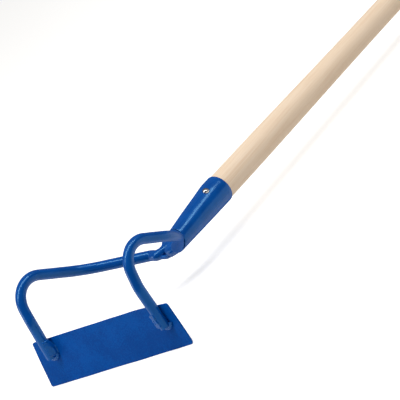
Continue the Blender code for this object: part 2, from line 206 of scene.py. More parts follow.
def ring(y: float, z: float, half_width: float, half_height: float, slant: float, sides: int) -> list[Vector]:
    """Points of an ellipse round the handle's axis.

    Args:
        y: place along the handle.
        z: height of its centre.
        half_width: half its width across X.
        half_height: half its height, square to the handle.
        slant: degrees by which its underside leans forward, away from the handle.
        sides: number of points.

    Returns:
        The points, in order round the ellipse.
    """
    lean = math.radians(slant)
    points = []
    for index in range(sides):
        turn = 2 * math.pi * index / sides
        rise = half_height * math.sin(turn)
        points.append(Vector((half_width * math.cos(turn), y + rise * math.tan(lean), z + rise)))
    return points


def blend_rings(first: list[Vector], last: list[Vector], steps: int) -> list[list[Vector]]:
    """Rings between two rings, without the two themselves."""
    return [[a.lerp(b, step / steps) for a, b in zip(first, last)] for step in range(1, steps)]


def skin(rings: list[list[Vector]], looped: bool = False) -> Mesh:
    """Join a row of rings into a closed mesh.

    Args:
        rings: rings with equal numbers of points.
        looped: join the last ring to the first instead of closing both ends.

    Returns:
        The mesh, with its faces pointing out.
    """
    bm = bmesh.new()
    rows = [[bm.verts.new(point) for point in points] for points in rings]
    for row, following in zip(rows, rows[1:] + (rows[:1] if looped else [])):
        for index in range(len(row)):
            after = (index + 1) % len(row)
            bm.faces.new((row[index], row[after], following[after], following[index]))
    if not looped:
        for row in (rows[0], rows[-1]):
            middle = sum((vert.co for vert in row), Vector()) / len(row)
            centre = bm.verts.new(middle)
            for index in range(len(row)):
                bm.faces.new((row[index], row[(index + 1) % len(row)], centre))
    return write_mesh(bm, bpy.data.meshes.new("skin"))


def rounded_path(corners: Sequence[Vector], radii: Sequence[float],
                 step_degrees: float = 3.0) -> list[Vector]:
    """Path through corners with each inner corner turned into an arc.

    Args:
        corners: the corner points.
        radii: bend radius at each inner corner.
        step_degrees: bend between two points of an arc.

    Returns:
        The path's points.
    """
    path = [corners[0]]
    for before, corner, after, radius in zip(corners, corners[1:], corners[2:], radii):
        back = (before - corner).normalized()
        ahead = (after - corner).normalized()
        turn = math.pi - back.angle(ahead)
        tangent = radius * math.tan(turn / 2)
        centre = corner + (back + ahead).normalized() * (radius / math.cos(turn / 2))
        start = corner + back * tangent - centre
        end = corner + ahead * tangent - centre
        steps = max(2, math.ceil(math.degrees(turn) / step_degrees))
        for step in range(steps + 1):
            share = step / steps
            first = math.sin((1.0 - share) * turn) / math.sin(turn)
            second = math.sin(share * turn) / math.sin(turn)
            path.append(centre + start * first + end * second)
    path.append(corners[-1])
    return path


def cut_flat(mesh: Mesh, point: Vector, outward: Vector, top: float, reach: float = 15.0) -> None:
    """Cut away what lies behind a plane, up to a height, and close the cut.

    Args:
        mesh: mesh that is cut.
        point: point on the plane.
        outward: the plane's normal, towards the side that is kept.
        top: height up to which the plane cuts.
        reach: how far behind the plane it cuts.
    """
    bm = bmesh.new()
    bm.from_mesh(mesh)
    faces = [face for face in bm.faces
             if all(vert.co.z < top and (vert.co - point).dot(outward) > -reach for vert in face.verts)]
    verts = dict.fromkeys(vert for face in faces for vert in face.verts)
    edges = dict.fromkeys(edge for face in faces for edge in face.edges)
    geometry = [*verts, *edges, *faces]
    bmesh.ops.bisect_plane(bm, geom=geometry, plane_co=point, plane_no=outward, clear_inner=True)
    rim = [edge for edge in bm.edges if edge.is_boundary]
    bmesh.ops.holes_fill(bm, edges=rim, sides=0)
    write_mesh(bm, mesh)


def roughen(mesh: Mesh, size: float, depth: float, seed: int) -> None:
    """Move a mesh's points in and out along their normals by smooth noise.

    Args:
        mesh: mesh that is changed, in millimetres.
        size: width of a bump.
        depth: furthest that a point moves.
        seed: shifts the pattern.
    """
    shift = Vector([seed * step for step in NOISE_STEPS])
    moves = [vert.normal * (noise.noise(vert.co / size + shift) * depth) for vert in mesh.vertices]
    for vert, move in zip(mesh.vertices, moves):
        vert.co += move
    mesh.update()


@dataclass(frozen=True)
class GlossEnamel:
    """Blue alkyd enamel, sprayed over round steel: smooth and wet looking, with sharp long highlights."""

    name: str = "blue_gloss_enamel"
    body: str = "#004C9E"
    deep: str = "#004493"
    roughness: float = 0.20
    roughness_spread: float = 0.04
    grazing_roughness: float = 1.3
    grazing_power: float = 3.0
    specular: float = 0.5
    tint: str = "#8CDAFF"
    noise_range: Pair = (0.35, 0.65)
    cloud_mm: float = 18.0
    peel_mm: float = 3.0
    peel_depth_mm: float = 0.02
    grain_mm: float = 0.9
    grain_depth_mm: float = 0.004
    fleck_mm: float = 1.6
    fleck_share: float = 0.10

    def build(self) -> Material:
        """Make the material.

        Returns:
            Material whose colour drifts between two blues and whose skin has a faint orange peel.
        """
        material, tree = blank_material(self.name)
        place = add_node(tree, "ShaderNodeTexCoord").outputs["Object"]
        cloud = add_noise(tree, place, self.cloud_mm, detail=3.0)
        fleck = add_noise(tree, place, self.fleck_mm, detail=1.0)
        drift = add_range(tree, cloud, (0.0, 1.0), self.noise_range)
        spots = add_range(tree, fleck, (-self.fleck_share, self.fleck_share), self.noise_range)
        share = add_math(tree, "ADD", drift, spots, clamp=True)
        colour = add_mix(tree, share, linear(self.deep), linear(self.body))
        spread = self.roughness_spread
        shine = add_range(tree, cloud, (self.roughness - spread, self.roughness + spread))
        facing = add_node(tree, "ShaderNodeLayerWeight", {"Blend": 0.5}).outputs["Facing"]
        slope = add_math(tree, "POWER", facing, self.grazing_power)
        shine = add_math(tree, "MULTIPLY_ADD", slope, self.grazing_roughness, shine)
        peel = add_noise(tree, place, self.peel_mm, detail=1.0)
        grain = add_noise(tree, place, self.grain_mm, detail=2.0)
        wave = add_node(tree, "ShaderNodeBump", {"Distance": self.peel_depth_mm * MM, "Height": peel})
        bump = add_node(tree, "ShaderNodeBump", {
            "Distance": self.grain_depth_mm * MM, "Height": grain, "Normal": wave.outputs[0]})
        set_surface(tree, {
            "distribution": "GGX", "Specular IOR Level": self.specular, "Specular Tint": linear(self.tint),
            "Base Color": colour, "Roughness": shine, "Normal": bump.outputs[0]})
        return material


@dataclass(frozen=True)
class BareWood:
    """Ash, turned and sanded, without varnish: pale and matt, with long straight grain and open pores."""

    name: str = "sanded_ash"
    light: str = "#EFDAC3"
    middle: str = "#ECD5BB"
    dark: str = "#E8CEB3"
    pore: str = "#D6B896"
    grain_stops: Triple = (0.36, 0.47, 0.64)
    patch_range: Pair = (0.42, 0.66)
    patch_share: float = 0.55
    pore_range: Pair = (0.62, 0.74)
    pore_share: float = 0.32
    roughness: float = 0.52
    roughness_spread: float = 0.07
    specular: float = 0.12
    band_mm: float = 1.8
    band_distortion: float = 0.4
    fibre_mm: float = 0.5
    stretch: float = 45.0
    patch_mm: float = 22.0
    patch_stretch: float = 6.25
    relief_mm: float = 0.03
    relief_strength: float = 0.7

    def build(self) -> Material:
        """Make the material.

        Returns:
            Material whose grain runs along the handle.
        """
        material, tree = blank_material(self.name)
        place = add_node(tree, "ShaderNodeTexCoord").outputs["Object"]
        along, slow = (add_node(tree, "ShaderNodeMapping", {
            "Scale": (1.0, 1 / stretch, 1.0), "Vector": place}).outputs[0]
            for stretch in (self.stretch, self.patch_stretch))
        band = add_noise(tree, along, self.band_mm, detail=3.0, distortion=self.band_distortion)
        fibre = add_noise(tree, along, self.fibre_mm, detail=2.0)
        patch = add_noise(tree, slow, self.patch_mm, detail=2.0)
        ramp = add_node(tree, "ShaderNodeValToRGB", {"Fac": band})
        stops = ramp.color_ramp.elements
        stops[0].position = self.grain_stops[0]
        stops[0].color = linear(self.dark)
        stops[1].position = self.grain_stops[2]
        stops[1].color = linear(self.light)
        stops.new(self.grain_stops[1]).color = linear(self.middle)
        warm = add_range(tree, patch, (0.0, self.patch_share), self.patch_range)
        mixed = add_mix(tree, warm, ramp.outputs[0], linear(self.middle))
        specks = add_range(tree, fibre, (0.0, self.pore_share), self.pore_range)
        colour = add_mix(tree, specks, mixed, linear(self.pore))
        spread = self.roughness_spread
        shine = add_range(tree, band, (self.roughness - spread, self.roughness + spread))
        bump = add_node(tree, "ShaderNodeBump", {
            "Distance": self.relief_mm * MM, "Strength": self.relief_strength, "Height": fibre})
        set_surface(tree, {
            "Specular IOR Level": self.specular, "Base Color": colour, "Roughness": shine,
            "Normal": bump.outputs[0]})
        return material


@dataclass(frozen=True)
class BrightSteel:
    """Cold-headed mild steel, left bright: a mirror-like dome with fine scuffs from the rivet set."""

    name: str = "bright_rivet_steel"
    body: str = "#C9C9CB"
    dull: str = "#9C9A99"
    roughness: Pair = (0.12, 0.32)
    scuff_mm: float = 0.8
    relief_mm: float = 0.006

    def build(self) -> Material:
        """Make the material.

        Returns:
            Metal with faint scuffs.
        """
        material, tree = blank_material(self.name)
        place = add_node(tree, "ShaderNodeTexCoord").outputs["Object"]
        scuff = add_noise(tree, place, self.scuff_mm, detail=4.0)
        colour = add_mix(tree, scuff, linear(self.dull), linear(self.body))
        shine = add_range(tree, scuff, self.roughness)
        bump = add_node(tree, "ShaderNodeBump", {"Distance": self.relief_mm * MM, "Height": scuff})
        set_surface(tree, {
            "Metallic": 1.0, "Base Color": colour, "Roughness": shine, "Normal": bump.outputs[0]})
        return material


class PathTree:
    """Geometry Nodes tree that grows a round bar or a rippled weld bead along a line of edges."""

    inputs: tuple[tuple[str, str, Optional[float]], ...] = (
        ("Path", "Geometry", None), ("Radius", "Float", 5.0), ("Sides", "Int", 40), ("Spacing", "Float", 1.0),
        ("Ripple Pitch", "Float", 2.0), ("Ripple Share", "Float", 0.0), ("Lump Size", "Float", 12.0),
        ("Lump Depth", "Float", 0.1), ("Seed", "Float", 1.0), ("Finish", "Material", None))
    merge_distance: float = 0.0001

    def __init__(self, name: str) -> None:
        """Build the tree under a name."""
        self.tree = bpy.data.node_groups.new(name, "GeometryNodeTree")
        self.build()

    def add_input(self, name: str, kind: str, value: Optional[float] = None) -> None:
        """Add a named input socket with its usual value."""
        socket = self.tree.interface.new_socket(name, in_out="INPUT", socket_type=kind)
        if value is not None:
            socket.default_value = value

    def build(self) -> None:
        """Lay out the tree: resample, set the radius, sweep a circle, ripple the skin, set the finish."""
        tree = self.tree
        for name, kind, value in self.inputs:
            self.add_input(name, "NodeSocket" + kind, value)
        tree.interface.new_socket("Piece", in_out="OUTPUT", socket_type="NodeSocketGeometry")
        given = add_node(tree, "NodeGroupInput").outputs
        line = add_node(tree, "GeometryNodeMeshToCurve", {0: given["Path"]})
        even = add_node(tree, "GeometryNodeResampleCurve", {
            "mode": "LENGTH", "Curve": line.outputs[0], "Length": given["Spacing"]})
        reach = add_node(tree, "GeometryNodeSplineParameter").outputs["Length"]
        beats = add_math(tree, "DIVIDE", reach, given["Ripple Pitch"])
        swing = add_math(tree, "SINE", add_math(tree, "MULTIPLY", beats, 2 * math.pi))
        scale = add_math(tree, "MULTIPLY_ADD", swing, given["Ripple Share"], 1.0)
        thick = add_node(tree, "GeometryNodeSetCurveRadius", {0: even.outputs[0], "Radius": scale})
        circle = add_node(tree, "GeometryNodeCurvePrimitiveCircle", {
            "mode": "RADIUS", "Resolution": given["Sides"], "Radius": given["Radius"]})
        swept = add_node(tree, "GeometryNodeCurveToMesh", {
            "Fill Caps": True, "Curve": thick.outputs[0], "Profile Curve": circle.outputs[0], "Scale": scale})
        merged = add_node(tree, "GeometryNodeMergeByDistance", {
            "Distance": self.merge_distance, 0: swept.outputs[0]})
        spot = add_node(tree, "GeometryNodeInputPosition").outputs[0]
        fineness = add_math(tree, "DIVIDE", 1.0, given["Lump Size"])
        lumps = add_node(tree, "ShaderNodeTexNoise", {
            "noise_dimensions": "4D", "Detail": 1.0, "Vector": spot, "W": given["Seed"],
            "Scale": fineness}).outputs["Fac"]
        depth = add_math(tree, "MULTIPLY", add_math(tree, "SUBTRACT", lumps, 0.5), given["Lump Depth"])
        outward = add_node(tree, "GeometryNodeInputNormal").outputs[0]
        move = add_node(tree, "ShaderNodeVectorMath", {
            "operation": "SCALE", "Vector": outward, "Scale": depth})
        uneven = add_node(tree, "GeometryNodeSetPosition", {0: merged.outputs[0], "Offset": move.outputs[0]})
        real = add_node(tree, "GeometryNodeRealizeInstances", {0: uneven.outputs[0]})
        dressed = add_node(tree, "GeometryNodeSetMaterial", {0: real.outputs[0], "Material": given["Finish"]})
        add_node(tree, "NodeGroupOutput", {0: dressed.outputs[0]})

    def grow(self, path: Sequence[Vector], values: dict) -> Mesh:
        """Run the tree on a path.

        Args:
            path: points of the path, in millimetres.
            values: values of the tree's inputs by name.

        Returns:
            The grown mesh, with its faces pointing out.
        """
        line = bpy.data.meshes.new("path")
        line.from_pydata([tuple(point) for point in path], [(i, i + 1) for i in range(len(path) - 1)], [])
        carrier = add_object("path", line)
        modifier = carrier.modifiers.new("grow", "NODES")
        modifier.node_group = self.tree
        for item in self.tree.interface.items_tree:
            if item.item_type == "SOCKET" and item.in_out == "INPUT" and item.name in values:
                modifier[item.identifier] = values[item.name]
        bpy.context.view_layer.update()
        depsgraph = bpy.context.evaluated_depsgraph_get()
        mesh = bpy.data.meshes.new_from_object(carrier.evaluated_get(depsgraph))
        bpy.data.objects.remove(carrier, do_unlink=True)
        bpy.data.meshes.remove(line)
        bm = bmesh.new()
        bm.from_mesh(mesh)
        return write_mesh(bm, mesh)


@dataclass
class Socket:
    """Rolled sheet shell, round at its mouth and slightly oval at its slanted narrow end."""

    mouth_diameter: float = 30.3
    wall: float = 1.0
    length: float = 81.0
    straight: float = 13.0
    end_width: float = 24.2
    end_height: float = 22.4
    end_drop: float = 3.2
    end_slant: float = 20.0
    slant_reach: float = 24.0
    slant_steps: int = 8
    cone_steps: int = 14
    rim_round: float = 0.3
    rim_corner: float = 0.3
    sides: int = 120

    def centre_height(self, y: float) -> float:
        """Height of the shell's centre at y."""
        cone = self.length - self.straight
        return -self.end_drop * max(0.0, (cone - y) / cone)

    def half_size(self, y: float) -> Pair:
        """Outer size of the shell, which grows evenly up the cone.

        Args:
            y: place along the handle.

        Returns:
            Half its width and half its height there.
        """
        share = min(1.0, y / (self.length - self.straight))
        mouth = self.mouth_diameter / 2
        wide = self.end_width / 2 + (mouth - self.end_width / 2) * share
        high = self.end_height / 2 + (mouth - self.end_height / 2) * share
        return wide, high

    def shell_ring(self, y: float, inset: float, slant: float = 0.0) -> list[Vector]:
        """Ring on the shell, inset from its outside."""
        wide, high = self.half_size(max(y, 0.0))
        return ring(y, self.centre_height(max(y, 0.0)), wide - inset, high - inset, slant, self.sides)

    def build(self) -> Mesh:
        """Make the shell.

        Returns:
            Closed mesh of the wall with both rims rounded.
        """
        first = self.slant_reach
        soft = self.rim_round
        corner = soft * self.rim_corner
        outside = [self.shell_ring(soft, 0.0, self.end_slant)]
        outside += blend_rings(outside[0], self.shell_ring(first, 0.0), self.slant_steps)
        outside += [self.shell_ring(first + (self.length - soft - first) * step / self.cone_steps, 0.0)
                    for step in range(self.cone_steps + 1)]
        mouth = [self.shell_ring(self.length - corner, corner), self.shell_ring(self.length, soft),
                 self.shell_ring(self.length, self.wall - soft)]
        inside = [self.shell_ring(self.length - soft, self.wall), self.shell_ring(first, self.wall)]
        end = [self.shell_ring(y, inset, self.end_slant) for y, inset in
               ((soft, self.wall), (0.0, self.wall - soft), (0.0, soft), (corner, corner))]
        mesh = skin(outside + mouth + inside + end, looped=True)
        roughen(mesh, size=16.0, depth=0.12, seed=3)
        return mesh

    def dress(self, paint: Material) -> None:
        finish_piece("socket_shell", self.build(), paint, ["socket"])


@dataclass
class Handle:
    """Turned wooden stick that fills the socket and thins to the grip."""

    socket: Socket
    foot: float = 21.0
    length: float = 1400.0
    rim_step: float = 0.9
    grip_diameter: float = 24.0
    taper: float = 330.0
    taper_steps: int = 40
    taper_crowding: float = 1.6
    foot_chamfer: float = 3.0
    lip: float = 1.0
    rim_sink: float = 0.2
    grip_step: int = 60
    butt_round: float = 4.0
    butt_margin: int = 10
    gap: float = 0.3

    def radius(self, distance: float) -> float:
        """Radius of the bare wood at a distance above the mouth."""
        neck = self.socket.mouth_diameter / 2 - self.rim_step
        share = min(1.0, distance / self.taper)
        return neck + (self.grip_diameter / 2 - neck) * share * share * (3.0 - 2.0 * share)

    def build(self) -> Mesh:
        """Make the stick.

        Returns:
            Closed mesh from its foot to its rounded butt.
        """
        sides = self.socket.sides
        inner = self.socket.wall + self.gap
        mouth = self.socket.length
        rings = [self.socket.shell_ring(self.foot, inner + self.foot_chamfer)]
        for y in (self.foot + self.foot_chamfer, mouth - self.socket.straight, mouth - self.lip):
            rings.append(self.socket.shell_ring(y, inner))
        for step in range(self.taper_steps + 1):
            share = (step / self.taper_steps) ** self.taper_crowding
            distance = (self.taper + self.rim_sink) * share - self.rim_sink
            size = self.radius(max(0.0, distance))
            rings.append(ring(mouth + distance, 0.0, size, size, 0.0, sides))
        butt = self.foot + self.length
        grip = self.grip_diameter / 2
        first = int(mouth + self.taper) + self.grip_step
        for y in range(first, int(butt - self.butt_round) - self.butt_margin, self.grip_step):
            rings.append(ring(float(y), 0.0, grip, grip, 0.0, sides))
        for degrees in range(0, 91, 15):
            turn = math.radians(degrees)
            size = grip - self.butt_round * (1.0 - math.cos(turn))
            rings.append(ring(butt - self.butt_round * (1.0 - math.sin(turn)), 0.0, size, size, 0.0, sides))
        return skin(rings)

    def dress(self, wood: Material) -> None:
        finish_piece("wooden_handle", self.build(), wood, ["handle"])


@dataclass
class Rivet:
    """Domed rivet through the socket into the wood."""

    socket: Socket
    below_mouth: float = 22.0
    angle: float = 55.0
    head_diameter: float = 7.0
    head_height: float = 2.2
    shank_diameter: float = 3.6
    shank_length: float = 12.0
    sunk: float = 0.05
    brim_depth: float = 0.2
    brim_share: float = 0.94
    dome_power: float = 0.9
    dome_steps: int = 12
    tip_radius: float = 0.02
    sides: int = 48

    def build(self) -> Mesh:
        """Make the rivet, its head just proud of the socket.

        Returns:
            Closed mesh turned round its own axis.
        """
        y = self.socket.length - self.below_mouth
        turn = math.radians(self.angle)
        out = Vector((math.cos(turn), 0.0, math.sin(turn)))
        wide, high = self.socket.half_size(y)
        reach = 1.0 / math.hypot(out.x / wide, out.z / high)
        seat = Vector((0.0, y, self.socket.centre_height(y))) + out * (reach - self.sunk)
        side = Vector((0.0, 1.0, 0.0))
        cross = out.cross(side)
        shank = self.shank_diameter / 2
        head = self.head_diameter / 2
        profile = [(shank, -self.shank_length), (shank, -self.brim_depth),
                   (head * self.brim_share, -self.brim_depth)]
        for step in range(self.dome_steps + 1):
            rise = math.radians(90.0 * step / self.dome_steps)
            radius = max(self.tip_radius, head * math.cos(rise) ** self.dome_power)
            profile.append((radius, self.head_height * math.sin(rise)))
        turns = [2 * math.pi * index / self.sides for index in range(self.sides)]
        return skin([[seat + out * height + (side * math.cos(a) + cross * math.sin(a)) * radius
                      for a in turns] for radius, height in profile])

    def dress(self, steel: Material) -> None:
        finish_piece("rivet", self.build(), steel, ["handle_rivet"])


@dataclass
class Blade:
    """Flat plate, ground behind its cutting edge, a little pulled down at one top corner by welding heat.

    The outline starts between two cuts of the grid, because a start on a cut leaves folded faces.
    """

    top_width: float = 212.5
    edge_width: float = 223.4
    height: float = 47.8
    thickness: float = 2.0
    corner_radius: float = 2.2
    forward: float = 139.8
    drop: float = 24.4
    lean: float = 9.8
    grind: float = 4.0
    edge_thickness: float = 0.8
    soft_edge: float = 0.35
    outline_start: float = 2.0
    corner_pull: float = 2.4
    corner_bend: float = 1.6
    heat_start: float = 45.0
    heat_limit: float = 1.2
    heat_power: float = 1.6
    grid_step: float = 4.0
    grid_side_columns: int = 27
    grid_rows: int = 11
    sharp_edge: float = 40.0

    def up(self) -> Vector:
        """Direction up the blade."""
        lean = math.radians(self.lean)
        return Vector((0.0, math.sin(lean), math.cos(lean)))

    def out(self) -> Vector:
        """Direction out of its outer face."""
        lean = math.radians(self.lean)
        return Vector((0.0, -math.cos(lean), math.sin(lean)))

    def middle(self) -> Vector:
        """Middle of its outer face."""
        return Vector((0.0, -self.forward, -self.drop))

    def shape_point(self, x: float, y: float, depth: float) -> Vector:
        """Tool position of a point of the plate.

        Args:
            x: across the blade.
            y: up the blade from its middle.
            depth: behind the outer face.

        Returns:
            The point, with the heat-pulled corner and the ground bevel worked in.
        """
        half = self.height / 2
        pull = max(0.0, x - self.heat_start) / (self.top_width / 2 - self.heat_start)
        high = max(0.0, y + half) / self.height
        share = min(self.heat_limit, pull) ** self.heat_power * high
        if depth > self.thickness / 2 and y < self.grind - half:
            ground = (self.grind - half - y) / self.grind
            depth = self.thickness + (self.edge_thickness - self.thickness) * min(1.0, ground)
        return (self.middle() + Vector((x, 0.0, 0.0)) + self.up() * (y - self.corner_pull * share)
                + self.out() * (self.corner_bend * share * high - depth))

    def outline(self) -> list[Vector]:
        """Outline of the plate in its own plane, with rounded corners."""
        half = self.height / 2
        start = Vector((self.outline_start, -half, 0.0))
        corners = [start, Vector((self.edge_width / 2, -half, 0.0)),
                   Vector((self.top_width / 2, half, 0.0)), Vector((-self.top_width / 2, half, 0.0)),
                   Vector((-self.edge_width / 2, -half, 0.0)), start]
        return rounded_path(corners, [self.corner_radius] * 4, 15.0)[:-1]

    def build(self) -> Mesh:
        """Make the plate.

        Returns:
            Closed mesh, cut into a grid so that it can bend, with softened edges.
        """
        bm = bmesh.new()
        bm.faces.new([bm.verts.new((point.x, point.y, 0.0)) for point in self.outline()])
        columns = range(-self.grid_side_columns, self.grid_side_columns + 1)
        first = self.grind - self.height / 2
        cuts = [(Vector((self.grid_step * i, 0.0, 0.0)), Vector((1.0, 0.0, 0.0))) for i in columns]
        cuts += [(Vector((0.0, first + self.grid_step * i, 0.0)), Vector((0.0, 1.0, 0.0)))
                 for i in range(self.grid_rows)]
        for point, normal in cuts:
            geometry = list(bm.verts) + list(bm.edges) + list(bm.faces)
            bmesh.ops.bisect_plane(bm, geom=geometry, plane_co=point, plane_no=normal)
        copied = bmesh.ops.extrude_face_region(bm, geom=list(bm.faces))
        for item in copied["geom"]:
            if isinstance(item, bmesh.types.BMVert):
                item.co.z = self.thickness
        for vert in bm.verts:
            vert.co = self.shape_point(*vert.co)
        bmesh.ops.recalc_face_normals(bm, faces=bm.faces)
        sharp = math.radians(self.sharp_edge)
        rim = [edge for edge in bm.edges if edge.is_manifold and edge.calc_face_angle() > sharp]
        bmesh.ops.bevel(bm, geom=rim, offset=self.soft_edge, segments=3, profile=0.5, affect="EDGES",
                        clamp_overlap=True)
        mesh = bpy.data.meshes.new("plate")
        bm.to_mesh(mesh)
        bm.free()
        roughen(mesh, size=34.0, depth=0.35, seed=8)
        return mesh

    def dress(self, paint: Material) -> None:
        finish_piece("blade_plate", self.build(), paint, ["blade"], 30.0)


@dataclass(frozen=True)
class Foot:
    """Bends of one bar from its kink down to its end, and the section of the weld beside it.

    Section points lie across the bar's line: the first number runs inward, the second out of the
    blade's face. Points marked low are counted from the face, the others from the bar's line.
    """

    word: str
    side: int
    kink: Triple
    elbow: Triple
    knee: Triple
    end: Triple
    bends: Pair
    weld_start: float
    lead: float
    over_bar: tuple[Pair, ...]
    low: tuple[Pair, ...] = ((8.2, 0.9), (8.5, -0.2), (1.0, -0.2))
    bump_depth: float = 0.4
    rim_reach: float = 2.2
    seed: int = 1


LEFT_FOOT = Foot("left", -1, (-77.4, -52.3, 19.7), (-88.4, -126.4, 69.1), (-81.8, -139.2, 22.1),
                 (-83.9, -142.9, -18.4), (45.0, 26.0), -0.5, 9.0,
                 ((2.4, 3.2), (3.9, 4.6), (4.5, 4.4), (6.5, 1.4), (7.9, -1.6)), bump_depth=0.3, seed=2)
RIGHT_FOOT = Foot("right", 1, (87.4, -61.7, 27.7), (87.3, -126.5, 68.5), (89.4, -139.5, 22.1),
                  (91.6, -143.1, -23.4), (50.0, 24.8), 6.0, 0.5,
                  ((-1.4, 4.0), (-1.5, 5.7), (0.2, 6.2), (2.8, 5.3), (4.4, 5.1), (6.2, 4.3), (7.8, 1.6),
                   (8.3, -1.5)), bump_depth=0.8, rim_reach=1.6, seed=5)


@dataclass
class ArmPair:
    """Two bent round bars and the weld metal that holds their feet on the blade."""

    blade: Blade
    bars: PathTree
    feet: tuple[Foot, Foot] = (LEFT_FOOT, RIGHT_FOOT)
    diameter: float = 10.8
    root: Triple = (5.4, 18.0, -1.7)
    neck: Triple = (5.4, -23.6, -3.4)
    shoulder: Triple = (19.5, -20.0, -1.7)
    neck_bends: Pair = (7.2, 6.5)
    knee_bend: float = 40.0
    rim_radius: float = 2.7
    rim_width: float = 5.6
    rim_height: float = 0.3
    rim_tail: float = 3.0
    rim_turn: float = 170.0
    rim_steps: int = 36
    weld_step: float = 0.5
    weld_cover: float = 0.6
    weld_sink: float = 0.2
    weld_tension: float = 0.4
    weld_parts: int = 4
    cut_margin: float = 1.0

    def path(self, foot: Foot) -> list[Vector]:
        """Centre line of one bar from the socket to its foot."""
        corners = [Vector((foot.side * x, y, z)) for x, y, z in (self.root, self.neck, self.shoulder)]
        corners += [Vector(foot.kink), Vector(foot.elbow), Vector(foot.knee), Vector(foot.end)]
        return rounded_path(corners, (*self.neck_bends, *foot.bends, self.knee_bend))

    def height(self, point: Vector) -> float:
        """Height of a point over the blade's outer face."""
        return (point - self.blade.middle()).dot(self.blade.out())

    def below_top(self, point: Vector) -> float:
        """How far a point lies below the level of the blade's top edge."""
        return self.blade.height / 2 - (point - self.blade.middle()).dot(self.blade.up())

    def stations(self, foot: Foot, step: float) -> list[Vector]:
        """Points of the bar's line under the weld, from the bar's end up.

        Args:
            foot: the foot.
            step: distance between two points.

        Returns:
            The points.
        """
        path = list(reversed(self.path(foot)))
        wanted = 0.0
        walked = 0.0
        found = []
        for start, end in zip(path, path[1:]):
            length = (end - start).length
            while wanted <= walked + length:
                point = start.lerp(end, (wanted - walked) / length)
                if self.below_top(point) < foot.weld_start:
                    return found
                found.append(point)
                wanted += step
            walked += length
        return found

    def section(self, foot: Foot, point: Vector) -> list[Pair]:
        """Outline of the weld across the bar's line, smoothed.

        Args:
            foot: the foot.
            point: point of the bar's line.

        Returns:
            Distances from that point, inward and out of the blade's face.
        """
        height = self.height(point)
        corners = list(foot.over_bar) + [(a, o - height) for a, o in foot.low]
        near = min(1.0, max(0.0, (self.below_top(point) - foot.weld_start) / foot.lead))
        held = []
        for a, o in corners:
            reach = math.hypot(a, o)
            limit = self.diameter / 2 + self.weld_cover
            scale = 1.0 if reach < limit else (limit + (reach - limit) * near) / reach
            held.append((a * scale, o * scale))
        smooth = []
        count = len(held)
        for place in range(count):
            around = [Vector((*held[(place + shift) % count], 0.0)) for shift in (-1, 0, 1, 2)]
            leave = (around[2] - around[0]) * self.weld_tension
            arrive = (around[3] - around[1]) * self.weld_tension
            for part in range(self.weld_parts):
                t = part / self.weld_parts
                spot = (around[1] * (1 - 3 * t * t + 2 * t ** 3) + around[2] * (3 * t * t - 2 * t ** 3)
                        + leave * (t - 2 * t * t + t ** 3) + arrive * (t ** 3 - t * t))
                smooth.append((spot.x, max(-height - self.weld_sink, spot.y)))
        return smooth

    def fillet(self, foot: Foot) -> Mesh:
        """Make the weld beside a foot.

        Args:
            foot: the foot.

        Returns:
            Closed lumpy mesh that leans on the bar and on the blade, with a step at its upper end.
        """
        inward = Vector((-foot.side, 0.0, 0.0))
        out = self.blade.out()
        points = self.stations(foot, self.weld_step)
        rings = []
        for index, point in enumerate(points):
            from_end = index * self.weld_step
            from_top = (len(points) - 1 - index) * self.weld_step
            scale = min(0.35 + 0.65 * math.sqrt(min(1.0, from_end / 3.0)),
                        0.78 + 0.22 * math.sqrt(min(1.0, from_top / 1.2)))
            low = -self.height(point) - self.weld_sink
            rings.append([point + inward * (a * scale) + out * max(low, o * scale)
                          for a, o in self.section(foot, point)])
        mesh = skin(rings)
        roughen(mesh, size=2.6, depth=foot.bump_depth, seed=foot.seed)
        return mesh

    def rim_path(self, foot: Foot) -> list[Vector]:
        """Centre line of the bead round the end of a foot.

        Args:
            foot: the foot.

        Returns:
            Points from the inner side round the bottom to the outer side.
        """
        end = Vector(foot.end)
        pivot = (end - self.blade.out() * (self.height(end) - self.rim_height)
                 + self.blade.up() * (self.rim_width - foot.rim_reach))
        inward = Vector((-foot.side, 0.0, 0.0))
        down = -self.blade.up()
        path = [pivot + inward * self.rim_width - down * self.rim_tail]
        for step in range(self.rim_steps + 1):
            turn = math.radians(self.rim_turn * step / self.rim_steps)
            path.append(pivot + (inward * math.cos(turn) + down * math.sin(turn)) * self.rim_width)
        return path

    def dress(self, paint: Material) -> None:
        out = self.blade.out()
        floor = self.blade.middle() - out * self.weld_sink
        top = (self.blade.middle() + self.blade.up() * self.blade.height / 2).z + self.cut_margin
        for foot in self.feet:
            weld = [foot.word + "_blade_weld"]
            bar = self.bars.grow(self.path(foot), {
                "Radius": self.diameter / 2, "Sides": 56, "Spacing": 0.8, "Lump Size": 14.0,
                "Lump Depth": 0.35, "Seed": 2.0 + foot.side, "Finish": paint})
            cut_flat(bar, floor, out, top)
            finish_piece(foot.word + "_bar", bar, paint, [foot.word + "_arm"])
            finish_piece(foot.word + "_foot_fillet", self.fillet(foot), paint, weld, 60.0)
            rim = self.bars.grow(self.rim_path(foot), {
                "Radius": self.rim_radius, "Sides": 32, "Spacing": 0.25, "Ripple Pitch": 2.1,
                "Ripple Share": 0.03, "Lump Size": 5.0, "Lump Depth": 0.5, "Seed": 6.0 + foot.side,
                "Finish": paint})
            cut_flat(rim, floor, out, top)
            finish_piece(foot.word + "_foot_rim", rim, paint, weld, 80.0)


